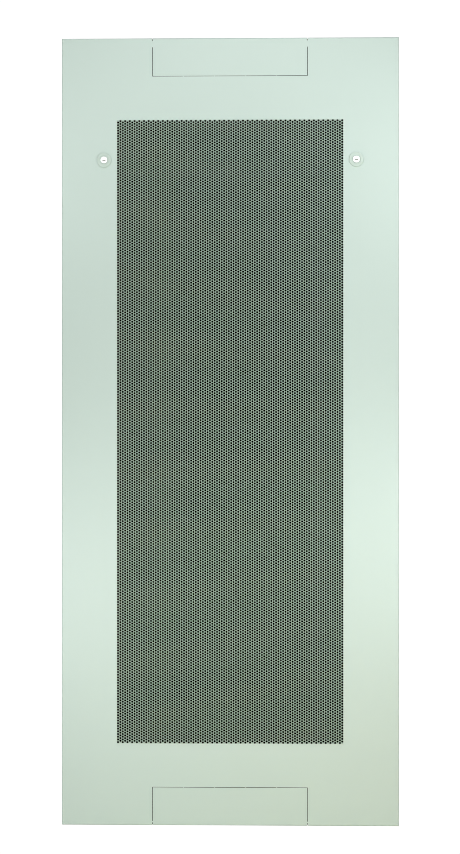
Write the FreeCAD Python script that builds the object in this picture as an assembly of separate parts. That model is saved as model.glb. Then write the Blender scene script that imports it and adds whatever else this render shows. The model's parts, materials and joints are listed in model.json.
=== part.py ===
"""Rear panel of a 24-unit floor rack: a folded, perforated steel tray held by two cam locks.

Millimetres. X runs to the right as seen from outside, Y into the rack, Z up.
The origin is on the underside of the bottom flange, midway between its two locating holes.
"""
import FreeCAD
import Part

import math
import os

from FreeCAD import Vector

# Sheet
PANEL_WIDTH = 500.0
PANEL_HEIGHT = 1168.0
PANEL_DEPTH = 20.0
SHEET = 1.0
BEND_INSIDE = 1.0
LIP_WIDTH = 15.0
LIP_END_GAP = 8.0
LIP_CORNER = 5.0

# Cable-entry knock-outs at the top and the bottom
ENTRY_WIDTH = 230.0
ENTRY_HEIGHT = 56.5
ENTRY_STROKES = 5
SLIT = 0.8
MICRO_JOINT = 1.0
TOP_NOTCH = 4.4
TOP_BRIDGE = 9.0
BOTTOM_NOTCH = 4.2
BOTTOM_BRIDGE = 2.0

# Perforation: staggered columns of punched holes, drawn as long openings with the same area and outer limits
HOLE_DIAMETER = 3.0
HOLE_PITCH = 4.0
COLUMN_PITCH = 3.5
COLUMNS = 96
HOLES_IN_COLUMN = 231
COLUMNS_IN_OPENING = 2
TIE = HOLE_PITCH - HOLE_DIAMETER

# Locating holes in the bottom flange
LOCATING_DIAMETER = 9.0
LOCATING_SPACING = 380.0

# Cam locks
LOCK_X = 187.0
LOCK_Z = 987.0
HEAD_DIAMETER = 22.0
HEAD_THICKNESS = 2.2
BARREL_DIAMETER = 18.0
BARREL_FLATS = 15.6
BARREL_LENGTH = 20.5
PANEL_HOLE_PLAY = 0.2
PLUG_DIAMETER = 10.0
PLUG_PLAY = 0.05
PLUG_PROUD = 0.9
RING_DIAMETER = 13.2
RING_DEPTH = 0.9
KEYWAY_WIDTH = 4.6
KEYWAY_HEIGHT = 1.6
KEYWAY_DROP = 0.4
KEYWAY_DEPTH = 17.0
WAFERS = 4
WAFER_PITCH = 3.0
WAFER_FIRST = 4.0
WAFER_THICKNESS = 1.0
WAFER_WIDTH = 8.2
WAFER_HEIGHT = 5.0
WAFER_WINDOW = 2.0
WAFER_PLAY = 0.05
WAFER_TRAVEL = 1.4
TAIL_SQUARE = 7.0
TAIL_SHORT = 0.2
TAIL_PLAY = 0.08
STOP_THICKNESS = 1.5
STOP_HUB = 12.4
STOP_TONGUE = 6.0
STOP_PEG_THICKNESS = 1.25
STOP_PEG_INNER = 5.8
STOP_PEG_OUTER = 7.7
STOP_PLAY = 0.35
LOCK_NUT_FLATS = 24.0
LOCK_NUT_THICKNESS = 4.0
THREAD_PLAY = 0.05
WASHER_PLAY = 0.2
TOOTH_WASHER_DIAMETER = 25.0
TOOTH_WASHER_THICKNESS = 0.8
TOOTH_WASHER_TEETH = 10
TOOTH_LENGTH = 1.6
CAM_REACH = 45.0
CAM_WIDTH = 18.0
CAM_TIP_WIDTH = 14.0
CAM_CORNER = 3.5
CAM_THICKNESS = 2.5
CAM_SCREW = 5.0
CAM_SCREW_DEPTH = 8.0
CAM_SCREW_FLATS = 8.0
CAM_SCREW_HEAD = 3.5
CAM_WASHER_DIAMETER = 12.0
CAM_WASHER_THICKNESS = 1.0

# Earthing stud, welded to the inside of the face
STUD_X = -205.0
STUD_Z = 85.0
STUD_DIAMETER = 6.0
STUD_LENGTH = 15.0
EARTH_WASHER_DIAMETER = 11.0
EARTH_WASHER_THICKNESS = 0.8
EARTH_WASHER_TEETH = 8
EARTH_TOOTH_LENGTH = 1.2
EARTH_NUT_FLATS = 10.0
EARTH_NUT_THICKNESS = 5.0

# Planes that several pieces share
HALF_WIDTH = PANEL_WIDTH / 2
BEND_OUTSIDE = BEND_INSIDE + SHEET
FRONT = -PANEL_DEPTH / 2
INSIDE = FRONT + SHEET
REAR = PANEL_DEPTH / 2
BARREL_END = FRONT + BARREL_LENGTH
STOP_END = BARREL_END + STOP_THICKNESS
CAM_END = STOP_END + CAM_THICKNESS
OVERCUT = 0.5


def box(x_range, y_range, z_range):
    """A block between two limits on each axis."""
    corner = Vector(x_range[0], y_range[0], z_range[0])
    length, width, height = (high - low for low, high in (x_range, y_range, z_range))
    return Part.makeBox(length, width, height, corner)


def rod(diameter, start, end):
    """A cylinder on the Y axis between two stations."""
    return Part.makeCylinder(diameter / 2, end - start, Vector(0, start, 0), Vector(0, 1, 0))


def square_bar(side, start, end):
    """A square bar on the Y axis between two stations."""
    return box((-side / 2, side / 2), (start, end), (-side / 2, side / 2))


def extruded_outline(points, start, end):
    """A plate with the outline of (x, z) points, between two stations on Y."""
    corners = [Vector(x, start, z) for x, z in points]
    return Part.Face(Part.makePolygon(corners + corners[:1])).extrude(Vector(0, end - start, 0))


def polygon_points(sides, reach, first_angle=0.0):
    """Corners of a regular polygon, as (x, z) points at one distance from the axis."""
    angles = [math.radians(first_angle + 360 * i / sides) for i in range(sides)]
    return [(reach * math.cos(angle), reach * math.sin(angle)) for angle in angles]


def hexagon(flats, start, end):
    """A six-sided plate on the Y axis whose corners slope down at the free end."""
    reach = flats / math.sqrt(3)
    blank = extruded_outline(polygon_points(6, reach), start, end)
    spread = (end - start) / math.tan(math.radians(30))
    rims = []
    for apothem, station in ((flats / 2, end), (flats / 2 + spread, start)):
        corners = [Vector(x, station, z) for x, z in polygon_points(6, apothem * 2 / math.sqrt(3), 30)]
        rims.append(Part.makePolygon(corners + corners[:1]))
    return blank.common(Part.makeLoft(rims, True, True))


def rounded_path(corners, radius):
    """Edges along a path of corners, each inner corner rounded by one radius."""
    edges = []
    last = corners[0]
    for before, corner, after in zip(corners, corners[1:], corners[2:]):
        back = (before - corner).normalize()
        ahead = (after - corner).normalize()
        half_angle = back.getAngle(ahead) / 2
        reach = radius / math.tan(half_angle)
        start = corner + back * reach
        end = corner + ahead * reach
        towards_centre = (back + ahead).normalize()
        middle = corner + towards_centre * (radius / math.sin(half_angle) - radius)
        edges.append(Part.makeLine(last, start))
        edges.append(Part.Arc(start, middle, end).toShape())
        last = end
    edges.append(Part.makeLine(last, corners[-1]))
    return edges


def folded_section(outer, inner):
    """The cut face of a folded sheet between its outer and inner corner paths."""
    edges = rounded_path(outer, BEND_OUTSIDE) + rounded_path(inner, BEND_INSIDE)
    edges.append(Part.makeLine(outer[0], inner[0]))
    edges.append(Part.makeLine(outer[-1], inner[-1]))
    return Part.Face(Part.Wire(Part.__sortEdges__(edges)))


def return_lips():
    """The lips folded inwards behind both side flanges, each with the rear half of its flange."""
    def path(inset):
        side = HALF_WIDTH - inset
        xy = [(HALF_WIDTH - LIP_WIDTH, REAR - inset), (side, REAR - inset), (side, 0)]
        return [Vector(x, y, 0) for x, y in xy]

    right = folded_section(path(0), path(SHEET)).extrude(Vector(0, 0, PANEL_HEIGHT))
    right = right.cut([lip_trim(0, 1), lip_trim(PANEL_HEIGHT, -1)])
    return [right, right.mirror(Vector(0, 0, 0), Vector(1, 0, 0))]


def lip_trim(end, inward):
    """What comes off the end of a return lip: its last stretch, and its inner corner at 45 degrees."""
    free = HALF_WIDTH - LIP_WIDTH - OVERCUT
    outside = HALF_WIDTH + OVERCUT
    stop = end + inward * LIP_END_GAP
    outline = [
        (free, end - inward * OVERCUT), (outside, end - inward * OVERCUT), (outside, stop),
        (free + OVERCUT + LIP_CORNER, stop), (free, stop + inward * (LIP_CORNER + OVERCUT)),
    ]
    return extruded_outline(outline, REAR - BEND_OUTSIDE, REAR + OVERCUT)


def rounded_section(corners, radius):
    """The face inside a path whose inner corners are rounded and whose ends are joined."""
    edges = rounded_path(corners, radius)
    edges.append(Part.makeLine(corners[-1], corners[0]))
    return Part.Face(Part.Wire(edges))


def tray_block(inset, radius, rear):
    """A block with rounded front edges: the tray's outside, or its hollow when inset by the sheet."""
    front = FRONT + inset
    side = HALF_WIDTH - inset
    low = inset
    high = PANEL_HEIGHT - inset
    level_path = [Vector(x, y, low) for x, y in ((-side, rear), (-side, front), (side, front), (side, rear))]
    upright_path = [Vector(-side, y, z) for y, z in ((rear, low), (front, low), (front, high), (rear, high))]
    level = rounded_section(level_path, radius).extrude(Vector(0, 0, high - low))
    upright = rounded_section(upright_path, radius).extrude(Vector(2 * side, 0, 0))
    return level.common(upright)


def folded_tray():
    """The bent sheet before punching: face, four flanges that meet in welded corners, and two lips."""
    tray = tray_block(0, BEND_OUTSIDE, REAR).cut(tray_block(SHEET, BEND_INSIDE, REAR + OVERCUT))
    behind = (REAR - BEND_OUTSIDE, REAR + OVERCUT)
    full_height = (-OVERCUT, PANEL_HEIGHT + OVERCUT)
    side_edges = []
    for side in (-1, 1):
        across = sorted((side * (HALF_WIDTH - SHEET), side * (HALF_WIDTH + OVERCUT)))
        side_edges.append(box(across, behind, full_height))
    return tray.cut(side_edges).fuse(return_lips()).removeSplitter()


def knock_out_slits(end, inward, notch, bridge):
    """Slits around one knock-out: edge notches, side slits, and strokes between micro-joints."""
    through = (FRONT - OVERCUT, INSIDE + OVERCUT)

    def level(depth):
        return end + inward * depth

    def band(near, far):
        return tuple(sorted((level(near), level(far))))

    slits = []
    for side in (-1, 1):
        centre = side * ENTRY_WIDTH / 2
        across = (centre - SLIT / 2, centre + SLIT / 2)
        slits.append(box(across, (FRONT - OVERCUT, REAR + OVERCUT), band(-OVERCUT, notch)))
        slits.append(box(across, through, band(notch + bridge, ENTRY_HEIGHT + SLIT / 2)))
    stroke = ENTRY_WIDTH / ENTRY_STROKES
    cross_band = band(ENTRY_HEIGHT - SLIT / 2, ENTRY_HEIGHT + SLIT / 2)
    for i in range(ENTRY_STROKES):
        left = -ENTRY_WIDTH / 2 + i * stroke
        begin = left + (MICRO_JOINT / 2 if i else 0)
        finish = left + stroke - (MICRO_JOINT / 2 if i < ENTRY_STROKES - 1 else MICRO_JOINT)
        slits.append(box((begin, finish), through, cross_band))
    return slits


def perforation():
    """Openings of the perforated field, in upright rows, each with one tie at a third of its height."""
    rows = COLUMNS // COLUMNS_IN_OPENING
    field_width = (COLUMNS - 1) * COLUMN_PITCH + HOLE_DIAMETER
    field_height = (HOLES_IN_COLUMN - 0.5) * HOLE_PITCH + HOLE_DIAMETER
    open_area = COLUMNS * HOLES_IN_COLUMN * math.pi * HOLE_DIAMETER ** 2 / 4
    width = open_area / rows / (field_height - TIE)
    row_pitch = (field_width - width) / (rows - 1)
    bottom = (PANEL_HEIGHT - field_height) / 2
    top = bottom + field_height
    through = (FRONT - OVERCUT, INSIDE + OVERCUT)
    openings = []
    for row in range(rows):
        left = -field_width / 2 + row * row_pitch
        tie_middle = bottom + field_height * (1 + row % 2) / 3
        for low, high in ((bottom, tie_middle - TIE / 2), (tie_middle + TIE / 2, top)):
            openings.append(box((left, left + width), through, (low, high)))
    return openings


def flatted(diameter, flats, start, end):
    """A bar on the Y axis with two flats that face up and down."""
    return rod(diameter, start, end).common(box((-diameter, diameter), (start, end), (-flats / 2, flats / 2)))


def panel_sheet():
    """The whole folded and punched sheet."""
    punches = knock_out_slits(PANEL_HEIGHT, -1, TOP_NOTCH, TOP_BRIDGE)
    punches += knock_out_slits(0, 1, BOTTOM_NOTCH, BOTTOM_BRIDGE)
    punches += perforation()
    hole_diameter = BARREL_DIAMETER + PANEL_HOLE_PLAY
    hole_flats = BARREL_FLATS + PANEL_HOLE_PLAY
    for side in (-1, 1):
        lock_hole = flatted(hole_diameter, hole_flats, FRONT - OVERCUT, INSIDE + OVERCUT)
        lock_hole.translate(Vector(side * LOCK_X, 0, LOCK_Z))
        punches.append(lock_hole)
        locating = Vector(side * LOCATING_SPACING / 2, 0, -OVERCUT)
        punches.append(Part.makeCylinder(LOCATING_DIAMETER / 2, SHEET + 2 * OVERCUT, locating))
    return folded_tray().cut(punches)


def lock_housing():
    """Head sunk in a ring round the plug, flatted barrel, bore with wafer grooves, and two stop pegs."""
    head_front = FRONT - HEAD_THICKNESS
    head = rod(HEAD_DIAMETER, head_front, FRONT)
    barrel = flatted(BARREL_DIAMETER, BARREL_FLATS, FRONT, BARREL_END)
    near = STOP_TONGUE / 2 + STOP_PLAY
    across = (-near - STOP_PEG_THICKNESS, -near)
    along = (STOP_PEG_INNER, STOP_PEG_OUTER)
    locked_peg = box(along, (BARREL_END, STOP_END), across)
    open_peg = box(across, (BARREL_END, STOP_END), along)
    bore = rod(PLUG_DIAMETER + 2 * PLUG_PLAY, head_front - OVERCUT, BARREL_END + OVERCUT)
    ring = rod(RING_DIAMETER, head_front - OVERCUT, head_front + RING_DEPTH)
    groove_start = FRONT + WAFER_FIRST - WAFER_THICKNESS
    groove_reach = PLUG_DIAMETER / 2 + WAFER_TRAVEL
    groove = box(
        (-groove_reach, groove_reach), (groove_start, BARREL_END + OVERCUT),
        (-WAFER_HEIGHT / 2, WAFER_HEIGHT / 2))
    return head.fuse([barrel, locked_peg, open_peg]).cut([bore, ring, groove]).removeSplitter()


def lock_plug():
    """Turning plug with keyway, wafer pockets, square tail and the thread hole for the cam screw."""
    face = FRONT - HEAD_THICKNESS - PLUG_PROUD
    body = rod(PLUG_DIAMETER, face, BARREL_END)
    tail = square_bar(TAIL_SQUARE, BARREL_END, CAM_END - TAIL_SHORT)
    keyway = box(
        (-KEYWAY_WIDTH / 2, KEYWAY_WIDTH / 2), (face - OVERCUT, face + KEYWAY_DEPTH),
        (-KEYWAY_DROP - KEYWAY_HEIGHT / 2, -KEYWAY_DROP + KEYWAY_HEIGHT / 2))
    cuts = [keyway, rod(CAM_SCREW + 2 * THREAD_PLAY, CAM_END - CAM_SCREW_DEPTH - 1, CAM_END + OVERCUT)]
    cuts += [wafer_blank(i, WAFER_PLAY) for i in range(WAFERS)]
    return body.fuse(tail).cut(cuts).removeSplitter()


def wafer_blank(index, play):
    """One wafer without its window, larger all round by a play."""
    station = FRONT + WAFER_FIRST + index * WAFER_PITCH
    half_thickness = WAFER_THICKNESS / 2 + play
    half_width = WAFER_WIDTH / 2 + play
    half_height = WAFER_HEIGHT / 2 + play
    return box(
        (-half_width, half_width), (station - half_thickness, station + half_thickness),
        (-half_height, half_height))


def lock_wafers():
    """Flat wafers, drawn level with the plug as they are with the key in."""
    window = box(
        (-KEYWAY_WIDTH / 2, KEYWAY_WIDTH / 2), (FRONT, REAR),
        (-KEYWAY_DROP - WAFER_WINDOW / 2, -KEYWAY_DROP + WAFER_WINDOW / 2))
    return Part.makeCompound([wafer_blank(i, 0).cut(window) for i in range(WAFERS)])


def toothed_washer(outer, bore, teeth, tooth, start, end):
    """A lock washer with square teeth around its outside."""
    tip = outer / 2
    root = tip - tooth
    pitch = 360 / teeth
    outline = []
    for i in range(teeth):
        for reach, share in ((root, -0.32), (tip, -0.24), (tip, 0.24), (root, 0.32)):
            angle = math.radians(pitch * (i + share))
            outline.append((reach * math.cos(angle), reach * math.sin(angle)))
    return extruded_outline(outline, start, end).cut(rod(bore, start - OVERCUT, end + OVERCUT))


def lock_tooth_washer():
    """Toothed washer between the sheet and the lock nut."""
    return toothed_washer(
        TOOTH_WASHER_DIAMETER, BARREL_DIAMETER + 2 * WASHER_PLAY, TOOTH_WASHER_TEETH, TOOTH_LENGTH,
        INSIDE, INSIDE + TOOTH_WASHER_THICKNESS)


def lock_nut():
    """Thin hexagon nut that clamps the housing to the sheet."""
    start = INSIDE + TOOTH_WASHER_THICKNESS
    end = start + LOCK_NUT_THICKNESS
    bore = rod(BARREL_DIAMETER + 2 * THREAD_PLAY, start - OVERCUT, end + OVERCUT)
    return hexagon(LOCK_NUT_FLATS, start, end).cut(bore)


def stop_washer():
    """Plate on the square tail whose tongue turns between the housing's two pegs."""
    hub = extruded_outline(polygon_points(8, STOP_HUB / 2, 22.5), BARREL_END, STOP_END)
    tongue = box((0, BARREL_DIAMETER / 2), (BARREL_END, STOP_END), (-STOP_TONGUE / 2, STOP_TONGUE / 2))
    hole = square_bar(TAIL_SQUARE + 2 * TAIL_PLAY, BARREL_END - OVERCUT, STOP_END + OVERCUT)
    return hub.fuse(tongue).cut(hole).removeSplitter()


def cam():
    """Flat tongue that grips behind the rack's frame; it points outwards when locked."""
    root = CAM_WIDTH / 2
    tip = CAM_TIP_WIDTH / 2
    upper = [
        (CAM_REACH, tip - CAM_CORNER), (CAM_REACH - CAM_CORNER, tip), (root, root), (CAM_CORNER - root, root),
        (-root, root - CAM_CORNER),
    ]
    outline = upper + [(x, -z) for x, z in reversed(upper)]
    hole = square_bar(TAIL_SQUARE + 2 * TAIL_PLAY, STOP_END - OVERCUT, CAM_END + OVERCUT)
    return extruded_outline(outline, STOP_END, CAM_END).cut(hole)


def cam_washer():
    """Plain washer under the cam screw."""
    end = CAM_END + CAM_WASHER_THICKNESS
    hole = rod(CAM_SCREW + 2 * WASHER_PLAY, CAM_END - OVERCUT, end + OVERCUT)
    return rod(CAM_WASHER_DIAMETER, CAM_END, end).cut(hole)


def cam_screw():
    """Hexagon screw that holds the cam on the plug's tail."""
    seat = CAM_END + CAM_WASHER_THICKNESS
    head = hexagon(CAM_SCREW_FLATS, seat, seat + CAM_SCREW_HEAD)
    return head.fuse(rod(CAM_SCREW, CAM_END - CAM_SCREW_DEPTH, seat)).removeSplitter()


# Pieces of one lock that differ between left and right, and fasteners that are alike in both
LOCK_PIECES = {
    "lock_housing": lock_housing,
    "lock_plug": lock_plug,
    "lock_wafers": lock_wafers,
    "stop_washer": stop_washer,
    "cam": cam,
    "cam_washer": cam_washer,
    "cam_screw": cam_screw,
}
LOCK_FASTENERS = {
    "lock_tooth_washers": lock_tooth_washer,
    "lock_nuts": lock_nut,
}


def left_and_right(piece):
    """One lock's piece at both locks, the left one mirrored."""
    left = piece.mirror(Vector(0, 0, 0), Vector(1, 0, 0))
    left.translate(Vector(-LOCK_X, 0, LOCK_Z))
    right = piece.copy()
    right.translate(Vector(LOCK_X, 0, LOCK_Z))
    return left, right


def earth_stud():
    """Threaded stud that stands on the inside of the face."""
    return rod(STUD_DIAMETER, INSIDE, INSIDE + STUD_LENGTH)


def earth_washer():
    """Toothed washer on the earthing stud."""
    return toothed_washer(
        EARTH_WASHER_DIAMETER, STUD_DIAMETER + 2 * WASHER_PLAY, EARTH_WASHER_TEETH, EARTH_TOOTH_LENGTH,
        INSIDE, INSIDE + EARTH_WASHER_THICKNESS)


def earth_nut():
    """Hexagon nut on the earthing stud."""
    start = INSIDE + EARTH_WASHER_THICKNESS
    end = start + EARTH_NUT_THICKNESS
    bore = rod(STUD_DIAMETER + 2 * THREAD_PLAY, start - OVERCUT, end + OVERCUT)
    return hexagon(EARTH_NUT_FLATS, start, end).cut(bore)


EARTH_PIECES = {
    "earth_stud": earth_stud,
    "earth_washer": earth_washer,
    "earth_nut": earth_nut,
}


def write_step(name, shape):
    """Writes one named piece."""
    shape.exportStep("parts/" + name + ".step")


os.makedirs("parts", exist_ok=True)
write_step("panel_sheet", panel_sheet())

for piece_name, make_piece in LOCK_PIECES.items():
    left_piece, right_piece = left_and_right(make_piece())
    write_step("left_" + piece_name, left_piece)
    write_step("right_" + piece_name, right_piece)

for group_name, make_piece in LOCK_FASTENERS.items():
    write_step(group_name, Part.makeCompound(left_and_right(make_piece())))

for piece_name, make_piece in EARTH_PIECES.items():
    piece = make_piece()
    piece.translate(Vector(STUD_X, 0, STUD_Z))
    write_step(piece_name, piece)
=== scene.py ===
"""Looks of a perforated rack rear panel: the punched and folded sheet, two cam locks and an earthing stud.

Metres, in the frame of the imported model: X to the right as seen from outside, Y into the rack, Z up.
"""

import json
import logging
import math
from abc import ABC, abstractmethod
from dataclasses import dataclass, field
from enum import Enum

import bpy
import numpy as np
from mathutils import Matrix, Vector
from numpy.typing import ArrayLike


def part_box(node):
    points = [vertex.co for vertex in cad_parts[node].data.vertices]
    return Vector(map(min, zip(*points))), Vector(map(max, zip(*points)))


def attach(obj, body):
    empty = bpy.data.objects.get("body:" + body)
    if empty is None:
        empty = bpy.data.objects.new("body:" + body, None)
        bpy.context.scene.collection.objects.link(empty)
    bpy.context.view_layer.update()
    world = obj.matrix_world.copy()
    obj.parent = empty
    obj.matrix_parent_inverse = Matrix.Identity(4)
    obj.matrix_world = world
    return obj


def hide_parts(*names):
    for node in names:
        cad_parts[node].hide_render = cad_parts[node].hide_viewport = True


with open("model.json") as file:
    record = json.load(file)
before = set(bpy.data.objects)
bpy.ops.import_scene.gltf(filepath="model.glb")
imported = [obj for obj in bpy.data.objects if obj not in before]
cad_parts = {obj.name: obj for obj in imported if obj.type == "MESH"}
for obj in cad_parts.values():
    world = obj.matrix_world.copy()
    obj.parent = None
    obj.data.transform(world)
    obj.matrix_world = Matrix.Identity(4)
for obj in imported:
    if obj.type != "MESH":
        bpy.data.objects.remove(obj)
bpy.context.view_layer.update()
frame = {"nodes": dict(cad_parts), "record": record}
LOG = logging.getLogger("rear_panel")
MM = 0.001
QUARTER_TURN = math.pi / 2
FULL_TURN = 2 * math.pi
ROOT_BODY = "panel"
SHEET_NODE = "panel_sheet"
# Point attribute, 1 among the punched holes, that masks the painted shade on the webs.
WEB_ATTRIBUTE = "punched_web"

# Points that agree to this many decimals of a metre are one point.
SAME_PLACE = 9
# Less than any distance on the part.
HAIRBREADTH = 1e-7
# Less than the area of any triangle on the part.
NO_AREA = 1e-12
# Angle in degrees above which an edge of a lock or of the stud is shaded sharp.
SHARP_EDGE = 40.0

Colour = tuple[float, float, float]
Place = tuple[float, float, float]
Socket = bpy.types.NodeSocket
Value = Socket | float | tuple[float, ...]


class Side(Enum):
    """The two locks, as the sign of X."""

    LEFT = -1
    RIGHT = 1

    @property
    def label(self) -> str:
        """The word that starts the names of this lock's pieces."""
        return self.name.lower()


class Slot(Enum):
    """Names of the record's material slots, which no piece is given."""

    POWDER = "powder_coat"
    HOUSING = "lock_housing"
    ZINC = "zinc_steel"


# Surfaces


@dataclass
class Skin:
    """One closed surface as whole arrays.

    points has one row a point. faces is a list of blocks, each with one row of point numbers a face.
    flat says for each block whether its faces are shaded flat. web is 1 at points among the punched holes.
    """

    points: np.ndarray
    faces: list[np.ndarray]
    flat: list[bool]
    web: np.ndarray | None = None

    def volume(self) -> float:
        """Signed volume: a sixth of the sum of p0 . (p1 x p2) over the faces' triangle fans.

        Returns:
            The volume, below zero where the faces look inwards.
        """
        total = 0.0
        for block in self.faces:
            corners = self.points[block]
            for last in range(2, block.shape[1]):
                cross = np.cross(corners[:, last - 1], corners[:, last])
                total += float((corners[:, 0] * cross).sum()) / 6
        return total

    def outward(self) -> "Skin":
        """Turns the faces, if need be, to look outwards.

        Returns:
            The surface itself.
        """
        if self.volume() < 0:
            self.faces = [block[:, ::-1].copy() for block in self.faces]
        return self

    def moved(self, x: float, z: float, side: Side = Side.RIGHT) -> "Skin":
        """The surface mirrored in X for the left side, then shifted along X and Z."""
        points = self.points * (side.value, 1, 1) + (x, 0, z)
        return Skin(points, list(self.faces), list(self.flat), self.web).outward()


def joined(*skins: Skin) -> Skin:
    """Several closed surfaces as one: points end to end, point numbers shifted to suit.

    Args:
        skins: the surfaces.

    Returns:
        One surface of them all.
    """
    starts = np.cumsum([0] + [len(skin.points) for skin in skins[:-1]])
    faces = [block + start for skin, start in zip(skins, starts) for block in skin.faces]
    flat = [is_flat for skin in skins for is_flat in skin.flat]
    return Skin(np.concatenate([skin.points for skin in skins]), faces, flat)


def open_edges(faces: np.ndarray) -> np.ndarray:
    """Edges (a, b) that no face runs along from b to a.

    Args:
        faces: one row of point numbers a face.

    Returns:
        One row (a, b) an edge, in its face's own direction.
    """
    starts = faces.ravel()
    ends = np.roll(faces, -1, axis=1).ravel()
    count = int(faces.max()) + 1
    alone = ~np.isin(starts * count + ends, ends * count + starts)
    return np.stack([starts[alone], ends[alone]], axis=1)


def closed_sheet(outer: np.ndarray, inner: np.ndarray, faces: np.ndarray, rims: np.ndarray,
                 web: np.ndarray) -> Skin:
    """A sheet with thickness, from one layout of faces.

    The outer faces, the inner ones turned round, and a wall a, a', b', b along each open edge (a, b).

    Args:
        outer: points of the outer side.
        inner: the point behind each outer point.
        faces: layout that both sides share, seen from outside.
        rims: true at points on a punched rim, whose walls are shaded with the face.
        web: 1 at points among the punched holes.

    Returns:
        The closed surface, without unused points.
    """
    count = len(outer)
    edges = open_edges(faces)
    walls = np.concatenate([edges, edges[:, ::-1] + count], axis=1)[:, [0, 3, 2, 1]]
    on_rim = rims[edges].all(axis=1)
    blocks = [np.concatenate([faces, faces[:, ::-1] + count]), walls[on_rim], walls[~on_rim]]
    used, place = np.unique(np.concatenate([block.ravel() for block in blocks]), return_inverse=True)
    splits = np.cumsum([block.size for block in blocks])[:-1]
    blocks = [part.reshape(block.shape) for part, block in zip(np.split(place, splits), blocks)]
    points = np.concatenate([outer, inner])[used]
    return Skin(points, blocks, [False, False, True], np.concatenate([web, web])[used])


def ring_faces(rings: int, around: int, wrapped: bool) -> np.ndarray:
    """Four-sided faces between neighbouring rings of points.

    Args:
        rings: number of rings.
        around: points in a ring.
        wrapped: whether the last ring joins the first.

    Returns:
        One row of four point numbers a face.
    """
    numbers = np.arange(rings * around).reshape(rings, around)
    after = np.roll(numbers, -1, axis=0)
    faces = np.stack([numbers, np.roll(numbers, -1, axis=1), np.roll(after, -1, axis=1), after], axis=2)
    return (faces if wrapped else faces[:-1]).reshape(-1, 4)


def ring_loop(rings: np.ndarray) -> Skin:
    """A closed tube of rings, the last joined to the first, as on a part with a hole through it."""
    count, around = rings.shape[:2]
    return Skin(rings.reshape(-1, 3), [ring_faces(count, around, True)], [False]).outward()


def capped_rings(rings: np.ndarray) -> Skin:
    """A stack of rings closed at both ends by a fan about the end ring's middle.

    Args:
        rings: points as rings, places in the ring, and X, Y, Z.

    Returns:
        The closed surface.
    """
    count, around = rings.shape[:2]
    hubs = rings[[0, -1]].mean(axis=1)
    points = np.concatenate([rings.reshape(-1, 3), hubs])
    turn = np.arange(around)
    ahead = np.roll(turn, -1)
    last = (count - 1) * around
    first_fan = np.stack([ahead, turn, np.full(around, count * around)], axis=1)
    last_fan = np.stack([turn + last, ahead + last, np.full(around, count * around + 1)], axis=1)
    faces = [ring_faces(count, around, False), np.concatenate([first_fan, last_fan])]
    return Skin(points, faces, [False, False]).outward()


def box_between(low: Place, high: Place) -> Skin:
    """A block between two corners, as a stack of two square rings.

    Args:
        low: its lowest corner.
        high: its highest corner.

    Returns:
        The block, shaded flat.
    """
    square = np.array([(low[0], low[2]), (high[0], low[2]), (high[0], high[2]), (low[0], high[2])])
    skin = capped_rings(np.array([at_station(square, low[1]), at_station(square, high[1])]))
    skin.flat = [True] * len(skin.faces)
    return skin


def turned(radii: np.ndarray, stations: np.ndarray, around: int) -> np.ndarray:
    """Rings about the Y axis: (r cos t, y, r sin t) for each turn t.

    Args:
        radii: one radius a ring, or one row of radii a ring.
        stations: Y of each ring.
        around: points in a ring.

    Returns:
        Points as rings, places in the ring, and X, Y, Z.
    """
    turn = np.arange(around) * FULL_TURN / around
    reach = np.broadcast_to(radii if radii.ndim == 2 else radii[:, None], (len(stations), around))
    level = np.broadcast_to(stations[:, None], reach.shape)
    return np.stack([reach * np.cos(turn), level, reach * np.sin(turn)], axis=2)


@dataclass(frozen=True)
class Thread:
    """A screw thread, drawn as rings whose radii rise and fall with the turn."""

    pitch: float
    depth: float
    rings_a_turn: int = 6

    @property
    def step(self) -> float:
        """Distance from ring to ring."""
        return self.pitch / self.rings_a_turn

    def rings(self, crest: float, start: float, end: float, around: int) -> np.ndarray:
        """Rings along the thread: a triangle wave of the station over the pitch, less the turn.

        Args:
            crest: radius at the thread's crest.
            start: Y of the first ring.
            end: Y that the rings stop short of.
            around: points in a ring.

        Returns:
            Points as rings, places in the ring, and X, Y, Z.
        """
        stations = np.arange(start, end, self.step)
        turn = np.arange(around) / around
        phase = (stations[:, None] / self.pitch - turn) % 1.0
        return turned(crest - self.depth * np.abs(2 * phase - 1), stations, around)


def unit(vectors: np.ndarray) -> np.ndarray:
    """Vectors, one a row, scaled to length 1."""
    return vectors / np.linalg.norm(vectors, axis=1, keepdims=True)


def rounded_outline(corners: np.ndarray, radii: np.ndarray, steps: int) -> np.ndarray:
    """A closed outline whose corners are arcs.

    Each arc's centre lies on the line that halves the corner, at radius over the sine of half the angle. Its
    points are turned about that centre, evenly to both sides of the line, from one touch to the other.

    Args:
        corners: one row (x, z) a corner, counter-clockwise.
        radii: one radius a corner.
        steps: points in an arc.

    Returns:
        One row (x, z) a point.
    """
    back = unit(np.roll(corners, 1, axis=0) - corners)
    ahead = unit(np.roll(corners, -1, axis=0) - corners)
    half = np.arccos((back * ahead).sum(axis=1)) / 2
    inward = unit(back + ahead)
    centres = corners + inward * (radii / np.sin(half))[:, None]
    middle = np.arctan2(-inward[:, 1], -inward[:, 0])
    angle = middle[:, None] + np.linspace(-1, 1, steps) * (QUARTER_TURN - half)[:, None]
    arc = np.stack([np.cos(angle), np.sin(angle)], axis=2) * radii[:, None, None]
    return (centres[:, None] + arc).reshape(-1, 2)


def shrunk(outline: np.ndarray, amount: float) -> np.ndarray:
    """The outline moved inwards along its normals, which are its tangents turned by a quarter."""
    tangent = unit(np.roll(outline, -1, axis=0) - np.roll(outline, 1, axis=0))
    return outline + amount * np.stack([-tangent[:, 1], tangent[:, 0]], axis=1)


def at_station(outline: np.ndarray, station: float) -> np.ndarray:
    """Points (x, z) set at one Y."""
    return np.stack([outline[:, 0], np.full(len(outline), station), outline[:, 1]], axis=1)


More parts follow.
